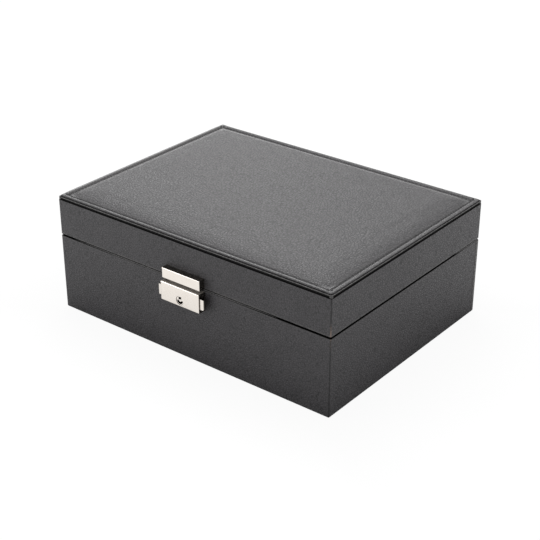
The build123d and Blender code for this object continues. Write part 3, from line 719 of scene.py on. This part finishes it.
# Spacer under the cover: black card, a little smaller than the lid, glued between the lid and the
# cover board. It is what shows, almost black, in the line round the lid: its near-black colour and weak
# sheen are painted shade for that line.
card_inset, card_thickness = 0.62 * mm, under_rise
card_shade_dark, card_shade_light, pulp_per_metre = (0.004, 0.004, 0.004), (0.009, 0.009, 0.009), 900
card, tree, shader, place = new_finish("black_card_painted_shade")
pulp = mottle(tree, place, pulp_per_metre, detail=4)
card_colour = ramp(tree, pulp, (0.3, card_shade_dark), (0.7, card_shade_light))
feed(tree, shader.inputs, {"Base Color": card_colour, "Roughness": 0.95, "Specular IOR Level": 0.15})
spacer = rounded_sheet(card_inset, board_low.z)
extrude(0, 0, card_thickness)
face_outwards()
end_modelling(spacer, "cover_spacer", card)
hold(spacer, "lid", "black_leatherette", "cover_board")


# Corner folds of the cover: the leatherette is gathered under the board at each corner, in a small
# round lump that fills the dark line there from the lid up to the bead. The lumps are in the lighter
# copy of the leatherette, a painted highlight.
fold_inset, fold_lift, fold_overlap = 0.12 * mm, 0.05 * mm, 0.1 * mm
fold_height, fold_points = under_rise + fold_overlap - fold_lift, 24
fold = new_shape(
    bpy.ops.mesh.primitive_circle_add,
    vertices=fold_points,
    radius=cover_corner - fold_inset,
    fill_type="NGON",
    location=(0, 0, board_low.z + fold_lift),
)
start_modelling(fold)
extrude(0, 0, fold_height)
face_outwards()
end_modelling(fold, "cover_corner_fold", highlight_leather)
for number, (sign_x, sign_y) in enumerate(((-1, -1), (1, -1), (1, 1), (-1, 1)), 1):
    corner = (sign_x * (cover_half.x - cover_corner), sign_y * (cover_half.y - cover_corner), 0)
    copy = copy_of(fold, f"cover_corner_fold_{number}", Matrix.Translation(corner))
    hold(copy, "lid", "black_leatherette")
bpy.data.objects.remove(fold)


# Padded cover: leatherette over a thin foam sheet, sewn through to the board in a channel all round.
# The turned edge outside the seam is a soft roll, and the foam inside it is crowned. Painted shade lies
# along the seam, in puckers and under the roll; a painted highlight, with smoother leatherette, lies on
# top of the roll and beside the seam.
def rounded_loop(half_x, half_y, corner, across, along, turn):
    """Points round a rectangle with round corners, with as many on every loop."""
    loop = []
    quarter = np.linspace(0, math.pi / 2, turn + 1)
    signs = ((1, -1), (1, 1), (-1, 1), (-1, -1))
    centres = [np.array((x * (half_x - corner), y * (half_y - corner))) for x, y in signs]
    for number, count in enumerate((along, across, along, across)):
        angles = quarter + (number - 1) * math.pi / 2
        arc = centres[number] + corner * np.stack((np.cos(angles), np.sin(angles)), 1)
        start, last_angle = arc[-1], angles[-1]
        end = centres[(number + 1) % 4] + corner * np.array((math.cos(last_angle), math.sin(last_angle)))
        shares = np.linspace(0, 1, count + 1)[1:-1, None]
        loop += [arc, start + (end - start) * shares]
    return np.concatenate(loop)


pad_low, pad_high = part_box("cover_pad")
pad_half = np.array((pad_high.x, pad_high.y))
pad_foot, pad_top = pad_low.z, pad_high.z
roll_profile = np.array([
    (0.9, -0.5), (0.6, -0.46), (0.42, -0.36), (0.34, -0.2), (0.34, 0.02), (0.42, 0.22), (0.62, 0.44),
    (0.95, 0.66), (1.35, 0.84), (1.8, 0.95), (2.2, 0.98), (2.6, 0.93), (2.95, 0.78), (3.25, 0.56),
    (3.5, 0.34), (3.75, 0.14), (4.05, 0.0), (4.35, -0.04), (4.6, 0.02), (4.8, 0.14), (5.0, 0.28),
]) * mm
end_profile = np.array([
    (0.9, -0.5), (0.55, -0.46), (0.36, -0.36), (0.25, -0.2), (0.22, 0.02), (0.28, 0.24), (0.45, 0.45),
    (0.75, 0.62), (1.2, 0.74), (1.7, 0.82), (2.2, 0.86), (2.65, 0.84), (3.0, 0.74), (3.28, 0.55),
    (3.52, 0.34), (3.75, 0.14), (4.05, 0.0), (4.35, -0.04), (4.6, 0.02), (4.8, 0.14), (5.0, 0.28),
]) * mm
seam_inset, field_inset = 4.3 * mm, roll_profile[-1][0]
roll_corner, field_corner = 1.3 * mm, 1.0 * mm
point_spacing, corner_points = 1.0 * mm, 6
field_half = pad_half - field_inset
across, along = (int(2 * half / point_spacing) for half in field_half)
field_rise, crown_rise, soft_corner = roll_profile[-1][1], 0.8 * mm, 11.0 * mm
shoulder_width, shoulder_power = 20.0 * mm, 3.0
lip_rise, lip_width, lip_power = 0.32 * mm, 2.0 * mm, 2.0
shoulder_rise = pad_top - pad_foot - field_rise - crown_rise - lip_rise


def foam_rise(x, y):
    """How high the foam stands over the pad's foot: steep shoulders and a slight crown."""
    q = np.stack((np.abs(x), np.abs(y)), -1) - (field_half - soft_corner)
    outside = np.linalg.norm(np.maximum(q, 0), axis=-1) + np.minimum(q.max(-1), 0) - soft_corner
    share, lip_share = (np.clip(-outside / width, 0, 1) for width in (shoulder_width, lip_width))
    crown = (1 - (x / field_half[0]) ** 2) * (1 - (y / field_half[1]) ** 2)
    shoulder = shoulder_rise * (1 - (1 - share) ** shoulder_power)
    lip = lip_rise * (1 - (1 - lip_share) ** lip_power)
    return field_rise + (shoulder + lip) + crown_rise * np.clip(crown, 0, 1)


# The leatherette is blown up from a slightly low start, held at the seam, with uneven foam under it
sheet_points, start_share, cover_swell = (58, 43), 0.93, 0.3 * mm
dents_per_metre, mean_firmness = 34.0, 0.5


def low_start(x, y):
    """The level that the leatherette starts from, a little under the full foam."""
    return pad_foot + field_rise + (foam_rise(x, y) - field_rise) * start_share


sheet = new_shape(
    bpy.ops.mesh.primitive_grid_add,
    x_subdivisions=sheet_points[0] - 1,
    y_subdivisions=sheet_points[1] - 1,
    size=2,
)
points = np.array([v.co for v in sheet.data.vertices])
points[:, :2] *= field_half
start_z = low_start(points[:, 0], points[:, 1])
points[:, 2] = start_z
sheet.data.vertices.foreach_set("co", points.ravel())
border = np.flatnonzero((np.abs(points[:, :2]) > field_half - near_by).any(1))
held = sheet.vertex_groups.new(name="held")
held.add(border.tolist(), 1.0, "REPLACE")
firm = sheet.vertex_groups.new(name="firm")
for index, point in enumerate(points):
    firmness = mean_firmness * (1 + noise.noise(Vector(point) * dents_per_metre))
    firm.add([index], min(max(firmness, 0.0), 1.0), "REPLACE")
raised = swollen_points(
    sheet,
    "held",
    quality=6,
    mass=0.3,
    tension_stiffness=30.0,
    compression_stiffness=30.0,
    bending_stiffness=2.0,
    vertex_group_pressure="firm",
)[:, 2] - start_z
order = np.lexsort((points[:, 0], points[:, 1]))
swell_grid = np.clip(raised, 0, cover_swell)[order].reshape(sheet_points[1], sheet_points[0])
bpy.data.objects.remove(sheet)


def swell_at(x, y):
    """The swelling of the blown-up sheet, read between its points."""
    u = np.clip((x / field_half[0] + 1) / 2, 0, 1) * (sheet_points[0] - 1)
    v = np.clip((y / field_half[1] + 1) / 2, 0, 1) * (sheet_points[1] - 1)
    i, j = np.minimum(u.astype(int), sheet_points[0] - 2), np.minimum(v.astype(int), sheet_points[1] - 2)
    a, b = u - i, v - j
    low = swell_grid[j, i] * (1 - a) + swell_grid[j, i + 1] * a
    high = swell_grid[j + 1, i] * (1 - a) + swell_grid[j + 1, i + 1] * a
    return low * (1 - b) + high * b


# Rings of points for the roll and the seam channel. The roll is fuller along the front and back than at
# the right end, and fullest at the left end
def profile_ring(inset, rise):
    """One ring of points round the pad."""
    corner = max(roll_corner - inset, field_corner)
    loop = rounded_loop(*(pad_half - inset), corner, across, along, corner_points)
    return np.column_stack((loop, np.full(len(loop), pad_foot + rise)))


# How the roll is shaded on the front, back, right and left: the point of its profile up to which it is
# tucked under and painted in shade, how dark that painted shade is, the points between which it has a
# painted highlight, and how strong the highlight is
roll_lie = np.array(((8, 0.8, 7, 14, 1.0), (8, 0.8, 7, 14, 0.2), (7, 1.0, 5, 15, 0.6), (7, 1.0, 7, 17, 1.9)))
tuck_fade, highlight_fade, corner_blend = 4, 2, 16 * mm
left_fullness, seam_number = 0.5 * mm, 16
rings, painted_tuck_shade, painted_highlight = [], [], []
for number, (long_point, end_point) in enumerate(zip(roll_profile, end_profile)):
    long_ring, end_ring = profile_ring(*long_point), profile_ring(*end_point)
    past_corner = np.subtract(*(np.abs(long_ring[:, :2]) - pad_half).T)
    end_share = np.clip(0.5 + past_corner / corner_blend, 0, 1)
    ring = long_ring * (1 - end_share)[:, None] + end_ring * end_share[:, None]
    left_share = np.where(ring[:, 0] < 0, end_share, 0)
    back_share = np.where(ring[:, 1] > 0, 1 - end_share, 0)
    if number < seam_number:
        fullness = max(end_point[1], 0) / end_profile[:, 1].max()
        ring[:, 2] += left_fullness * fullness * left_share
    rings.append(ring)
    side_shares = (1 - end_share - back_share, back_share, end_share - left_share, left_share)
    tuck_last, tuck_shade, highlight_first, highlight_last, highlight_strength = roll_lie.T @ side_shares
    painted_tuck_shade.append(np.clip((tuck_last - number) / tuck_fade, 0, 1) * tuck_shade)
    risen = np.clip((number - highlight_first) / highlight_fade, 0, 1) * np.clip((highlight_last - number) / highlight_fade, 0, 1)
    painted_highlight.append(risen * highlight_strength)
ring_size = len(rings[0])

# A grid of points for the field inside the last ring, drawn between its four sides
corner_steps = (corner_points // 2, corner_points + along, corner_points + across, corner_points + along)
right_front, _, left_back, left_front = np.cumsum(corner_steps)
columns, rows = corner_points + across, corner_points + along
front_index = (left_front + np.arange(columns + 1)) % ring_size
back_index = left_back - np.arange(columns + 1)
left_index, right_index = left_front - np.arange(rows + 1), right_front + np.arange(rows + 1)
last_ring = rings[-1][:, :2]
front_side, back_side = last_ring[front_index][None, :], last_ring[back_index][None, :]
left_side, right_side = last_ring[left_index][:, None], last_ring[right_index][:, None]
u = np.linspace(0, 1, columns + 1)[None, :, None]
v = np.linspace(0, 1, rows + 1)[:, None, None]
field = (1 - v) * front_side + v * back_side + (1 - u) * left_side + u * right_side
field -= (1 - v) * ((1 - u) * front_side[:, :1] + u * front_side[:, -1:])
field -= v * ((1 - u) * back_side[:, :1] + u * back_side[:, -1:])
inner = field[1:-1, 1:-1].reshape(-1, 2)
inner_z = low_start(inner[:, 0], inner[:, 1]) + swell_at(inner[:, 0], inner[:, 1])
pad_points = np.concatenate(rings + [np.column_stack((inner, inner_z))])

# Each stitch presses the leatherette down, and it stands up in a bridge between two of them. A painted
# shade lies along the seam, lighter on the bridges
stitch_pitch, press_depth, press_reach = 3.2 * mm, 0.45 * mm, 1.2 * mm
bridge_light, shade_width = 0.95, 0.8 * mm
seam_half = pad_half - seam_inset
stitch_counts = np.round(2 * seam_half / stitch_pitch).astype(int)
stitch_pitches = 2 * seam_half / stitch_counts
away = np.abs(seam_half - np.abs(pad_points[:, :2]))
nearest = away.argmin(1)
each = np.arange(len(pad_points))
run = pad_points[each, 1 - nearest] + seam_half[1 - nearest]
bridge = 0.5 + 0.5 * np.cos(2 * math.pi * run / stitch_pitches[1 - nearest])
from_seam = away[each, nearest]
pad_points[:, 2] -= press_depth * (1 - bridge) * np.exp(-from_seam / press_reach)
seam_shade = (1 - bridge_light * bridge) * np.exp(-(from_seam / shade_width) ** 2)

# Painted shade on the field in puckers under the stitches, and on the roll where it is tucked under.
# A painted highlight on the field beside the seam and on top of the roll
pucker_shade, pucker_power, pucker_width = 0.55, 3, 1.2 * mm
lip_highlight, lip_middle, lip_fade = 0.7, 1.4 * mm, 1.0 * mm
last_start = ring_size * (len(rings) - 1)
field_part = each >= last_start
painted_pucker_shade = pucker_shade * (1 - bridge) ** pucker_power * np.exp(-(from_seam / pucker_width) ** 2)
painted_tuck_shade, painted_highlight = (np.append(np.concatenate(marks), np.zeros(len(inner))) for marks in (painted_tuck_shade, painted_highlight))
seam_shade = np.max((seam_shade, np.where(field_part, painted_pucker_shade, 0), painted_tuck_shade), axis=0)
painted_highlight += np.where(field_part, lip_highlight * np.exp(-(((from_seam - lip_middle) / lip_fade) ** 2)), 0)
painted_highlight *= half_highlight

# Along the back and the left a wider strip beside the seam has the painted highlight, stronger away
# from the front and the right
strip_fade, strip_middle, strip_width, left_strip, back_strip = 15 * mm, 2.8 * mm, 2.1 * mm, 0.8, 1.0
past_front = (pad_points[:, 1] + seam_half[1]) / strip_fade
past_right = (seam_half[0] - pad_points[:, 0]) / strip_fade
on_left, on_back = (nearest == 0) & (pad_points[:, 0] < 0), (nearest == 1) & (pad_points[:, 1] > 0)
strip_highlight_share = np.clip(np.where(on_left, past_front, 0) + np.where(on_back, past_right, 0), 0, 1)
strip_highlight_share *= np.where(on_left, left_strip, back_strip)
highlight_strip = strip_highlight_share * np.exp(-(((from_seam - strip_middle) / strip_width) ** 2))
painted_highlight = np.where(field_part, np.maximum(painted_highlight, highlight_strip), painted_highlight)

# The seam along the back lies further in than on the other sides
back_draw, draw_off_edge, draw_width = 1.0 * mm, 1.5 * mm, 2.8 * mm


def draw_in(y):
    """A place on the cover with the back seam drawn in, and the edge and the middle left where they are."""
    from_back = np.clip((pad_half[1] - draw_off_edge - y) / draw_width, 0, 1)
    return y - back_draw * from_back * np.clip(y / seam_half[1], 0, 1)


pad_points[:, 1] = draw_in(pad_points[:, 1])
grid_index = np.empty((rows + 1, columns + 1), int)
grid_index[1:-1, 1:-1] = ring_size * len(rings) + np.arange(len(inner)).reshape(rows - 1, columns - 1)
grid_index[0], grid_index[-1] = last_start + front_index, last_start + back_index
grid_index[:, 0], grid_index[:, -1] = last_start + left_index, last_start + right_index
around = np.arange(ring_size)
faces = []
for number in range(len(rings) - 1):
    outer, inward = number * ring_size + around, (number + 1) * ring_size + around
    faces += np.column_stack((outer, np.roll(outer, -1), np.roll(inward, -1), inward)).tolist()
faces += grid_faces(grid_index) + [around[::-1].tolist()]
cover_leather = leatherette("black_leatherette_cover", sewn=True)
padded_cover = soft_piece("padded_cover", pad_points.tolist(), faces, cover_leather)
for label, values in (("seam", seam_shade), ("painted_highlight", painted_highlight)):
    padded_cover.data.attributes.new(label, "FLOAT", "POINT").data.foreach_set("value", values)
hold(padded_cover, "lid", "black_leatherette", "cover_pad")


# Stitching of the cover: one line of black thread in the channel, about three millimetres a stitch.
# Each stitch is a short bowed length of thread that dives into a needle hole at both ends.
thread_length, thread_width, thread_height = 2.0 * mm, 1.0 * mm, 0.62 * mm
thread_dip, dip_share, seam_lift = 0.22 * mm, 0.4, 0.02 * mm
thread_colour, thread_shine = (0.006, 0.006, 0.0065), (0.025, 0.025, 0.026)
thread = mottled_finish(
    "black_thread", (0.35, thread_colour), (0.7, thread_shine), per_metre=2600, detail=2, roughness=0.6,
    strength=0.5, depth=0.05 * mm,
)
stitch = new_shape(bpy.ops.mesh.primitive_uv_sphere_add, segments=8, ring_count=6, radius=0.5)
start_modelling(stitch)
bpy.ops.transform.rotate(value=math.pi / 2, orient_axis="Y", center_override=(0, 0, 0))
bpy.ops.transform.resize(value=(thread_length, thread_width, thread_height), center_override=(0, 0, 0))
bpy.ops.object.mode_set(mode="OBJECT")
for vertex in stitch.data.vertices:
    vertex.select = abs(vertex.co.x) > dip_share * thread_length
bpy.ops.object.mode_set(mode="EDIT")
bpy.ops.transform.translate(value=(0, 0, -thread_dip))
end_modelling(stitch, "cover_stitch", thread, smooth_angle=80)
stitches = []
for axis in (0, 1):
    quarter_turn = Matrix.Rotation(axis * math.pi / 2, 4, "Z")
    for sign in (-1, 1):
        for index in range(stitch_counts[axis]):
            spot = [0.0, 0.0, pad_foot + seam_lift]
            spot[axis] = (index + 0.5) * stitch_pitches[axis] - seam_half[axis]
            spot[1 - axis] = sign * seam_half[1 - axis]
            spot[1] = draw_in(spot[1])
            stitches.append(copy_of(stitch, "cover_stitch", Matrix.Translation(spot) @ quarter_turn))
bpy.data.objects.remove(stitch)
select_only(stitches[0])
for copy in stitches:
    copy.select_set(True)
bpy.ops.object.join()
stitching = bpy.context.object
stitching.name = stitching.data.name = "cover_stitching"
hold(stitching, "lid", "black_leatherette")


# Stop hinges, screws and the inside of the lock: bright plated steel. The leaves of the hinges are let
# into the rims and screwed to the back boards, and the lock is screwed to a plate inside the front.
polish_marks, given, result = new_group(
    "polish_marks", {"Smooth": 0.08, "Smudged": 0.2}, ("Roughness", "Height", "Tone")
)
tree = polish_marks
smudges_per_metre, smudge_range, scratches_per_metre = 180, (0.35, 0.75), 700
scratch_turn, scratch_stretch = (0, 0.5, 0), (1, 1, 14)
smudge = mottle(tree, given["Place"], smudges_per_metre, detail=4)
line_values = {"Vector": given["Place"], "Rotation": scratch_turn, "Scale": scratch_stretch}
lines = add_node(tree, "ShaderNodeMapping", line_values).outputs["Vector"]
feed(tree, result, {
    "Roughness": spread(tree, smudge, *smudge_range, given["Smooth"], given["Smudged"]),
    "Height": mottle(tree, lines, scratches_per_metre, detail=5),
    "Tone": smudge,
})
specks_per_metre, frontal_range, upward_range, painted_light_metallic = 900, (0.55, 0.9), (0.7, 0.95), 0.2


def facing(tree):
    """The way that a surface faces, along each axis."""
    normal = add_node(tree, "ShaderNodeTexCoord").outputs["Normal"]
    return add_node(tree, "ShaderNodeSeparateXYZ", {"Vector": normal}).outputs


def polished(name, bright, dull, smooth, smudged, side_shade=None, painted_light_top=None):
    """A polished plate with faint smudges and hairlines, and where asked a speckled painted shade on
    the faces that don't face the front, and painted light on its top.
    """
    finish, tree, shader, place = new_finish(name)
    marks = use_group(tree, polish_marks, Place=place, Smooth=smooth, Smudged=smudged)
    colour, metallic = ramp(tree, marks["Tone"], (0.3, bright), (0.8, dull)), 1.0
    if side_shade:
        # Painted shade, speckled, on the faces that don't face the front
        specks = mottle(tree, place, specks_per_metre, detail=3)
        shaded_sides = ramp(tree, specks, (0.38, side_shade[0]), (0.66, side_shade[1]))
        sideways = spread(tree, calculate(tree, "ABSOLUTE", facing(tree)["Y"]), *frontal_range, 1.0, 0.0)
        colour = blend_colours(tree, sideways, colour, shaded_sides)
    if painted_light_top:
        # Painted light on the top: a lighter grey that reflects less
        upward = spread(tree, facing(tree)["Z"], *upward_range, 0.0, 1.0)
        colour = blend_colours(tree, upward, colour, painted_light_top)
        metallic = spread(tree, upward, 0.0, 1.0, 1.0, painted_light_metallic)
    values = {"Base Color": colour, "Roughness": marks["Roughness"], "Metallic": metallic}
    finish_surface(tree, shader, values, height=marks["Height"], strength=0.04, depth=0.02 * mm)
    return finish


steel_bright, steel_dull = (0.62, 0.62, 0.61), (0.52, 0.52, 0.52)
steel = polished("bright_steel_plate", steel_bright, steel_dull, smooth=0.16, smudged=0.3)
for side in ("left", "right"):
    dress(steel, f"hinge_{side}_base_leaf", f"hinge_{side}_lid_leaf", f"hinge_{side}_pin")
    dress(steel, f"{side}_tab_spring")
dress(steel, "hinge_base_screws", "hinge_lid_screws", "lock_screws", "hasp_screws", "lock_back_plate")


# Lock on the base and hasp on the lid: folded sheet, polished and nickel plated, and screwed on from
# inside. Their faces that don't face the front carry a speckled painted shade, the top of the case a
# painted lighter grey that reflects less, and the tongue of the hasp is dull steel.
nickel_bright, nickel_dull = (0.92, 0.865, 0.8), (0.88, 0.82, 0.75)
nickel_painted_shade, nickel_painted_light = ((0.09, 0.082, 0.074), (0.27, 0.245, 0.22)), (0.36, 0.33, 0.295)
plating = {"smooth": 0.06, "smudged": 0.14, "side_shade": nickel_painted_shade}
nickel = polished("polished_nickel_plate", nickel_bright, nickel_dull, **plating)
dress(nickel, "key_post", "key_plug", "left_tab", "right_tab", "hasp_plate")
case_nickel = polished("polished_nickel_case", nickel_bright, nickel_dull, **plating, painted_light_top=nickel_painted_light)
dress(case_nickel, "lock_case")
tongue_bright, tongue_dull = (0.72, 0.69, 0.65), (0.58, 0.55, 0.52)
dull_steel = polished("dull_steel_plate", tongue_bright, tongue_dull, smooth=0.35, smudged=0.5)
dress(dull_steel, "hasp_tongue")


# Stage: a pale floor that keeps a faint shadow, white surroundings, soft lamps and the camera. Floor and
# surroundings glow for the camera and in polished metal, so that they come out white. Close beside the
# box the floor is painted greyer and glows less in reflections: a painted shadow.
def seen_directly(tree, reflected_share):
    """One for rays from the camera, and a share for rays off metal or through glass."""
    rays = add_node(tree, "ShaderNodeLightPath").outputs
    bounced = calculate(tree, "MAXIMUM", rays["Is Glossy Ray"], rays["Is Transmission Ray"])
    bounced = calculate(tree, "MULTIPLY", bounced, reflected_share)
    return calculate(tree, "MAXIMUM", rays["Is Camera Ray"], bounced)


white = (1, 1, 1, 1)
floor_size, floor_glow, floor_glow_share, most_clear = 14.0, 1.04, 0.9, 0.7
floor_light, painted_shadow_grey, light_from = 0.88, 0.5, 0.5
shade_beside = {"X": (cad_box[1].x, 0.14), "Y": (cad_box[1].y, 0.085)}
floor = new_shape(bpy.ops.mesh.primitive_plane_add, size=floor_size, location=(0, 0, 0))
floor.name = "floor"
floor_finish, tree, shader, place = new_finish("pale_floor")
tree.nodes.remove(shader)
floor_place = add_node(tree, "ShaderNodeSeparateXYZ", {"Vector": place}).outputs
# Painted shadow: the floor is greyer close beside the box, and glows less in reflections there
beside = [
    spread(tree, calculate(tree, "ABSOLUTE", floor_place[axis]), half, half + width, 0.0, most_clear)
    for axis, (half, width) in shade_beside.items()
]
clear_of_painted_shadow = calculate(tree, "MAXIMUM", *beside)
floor_with_painted_shadow = spread(tree, clear_of_painted_shadow, 0.0, light_from, painted_shadow_grey, floor_light)
paint = add_node(tree, "ShaderNodeBsdfDiffuse", {"Color": floor_with_painted_shadow}).outputs[0]
glow = add_node(tree, "ShaderNodeEmission", {"Color": white, "Strength": floor_glow}).outputs[0]
share = calculate(tree, "MULTIPLY", seen_directly(tree, clear_of_painted_shadow), floor_glow_share)
mixed = add_node(tree, "ShaderNodeMixShader", {0: share, 1: paint, 2: glow}).outputs[0]
feed(tree, tree.nodes["Material Output"].inputs, {"Surface": mixed})
floor.data.materials.append(floor_finish)

world_fill = 0.6
world = scene.world or bpy.data.worlds.new("white_surroundings")
scene.world = world
world.use_nodes = True
tree = world.node_tree
strength = spread(tree, seen_directly(tree, 1.0), 0.0, 1.0, world_fill, 1.0)
feed(tree, tree.nodes["Background"].inputs, {"Color": white, "Strength": strength})

lamp_target = Vector((0, 0, 0.05))


def soft_lamp(name, place, size, power):
    """A square soft lamp turned towards the box, which the camera doesn't see."""
    data = bpy.data.lights.new(name, "AREA")
    data.shape, data.size, data.energy = "SQUARE", size, power
    lamp = bpy.data.objects.new(name, data)
    lamp.location = place
    lamp.rotation_euler = (lamp_target - Vector(place)).to_track_quat("-Z", "Y").to_euler()
    lamp.visible_camera = False
    scene.collection.objects.link(lamp)


soft_lamp("overhead_lamp", (-0.6, 0.65, 1.7), size=1.4, power=15.0)
soft_lamp("back_left_lamp", (-1.4, 1.5, 0.9), size=0.8, power=4.5)
soft_lamp("front_left_lamp", (-1.3, -1.2, 0.4), size=0.8, power=6.5)
soft_lamp("back_right_lamp", (1.5, 1.1, 0.5), size=0.8, power=3.0)

camera_place, camera_turn = (0.51043, -0.64416, 0.45762), math.radians(38.3615)
camera_data = bpy.data.cameras.new("camera")
camera_data.sensor_width, camera_data.lens = 36.0, 84.62
camera = bpy.data.objects.new("camera", camera_data)
camera_right = Vector((math.cos(camera_turn), math.sin(camera_turn), 0))
camera_back = Vector((0.55094, -0.69607, 0.46038)).normalized()
camera_up = camera_back.cross(camera_right)
camera_axes = Matrix((camera_right, camera_up, camera_back)).transposed()
camera.matrix_world = Matrix.Translation(camera_place) @ camera_axes.to_4x4()
scene.collection.objects.link(camera)
scene.camera = camera
scene.view_settings.view_transform = "Standard"
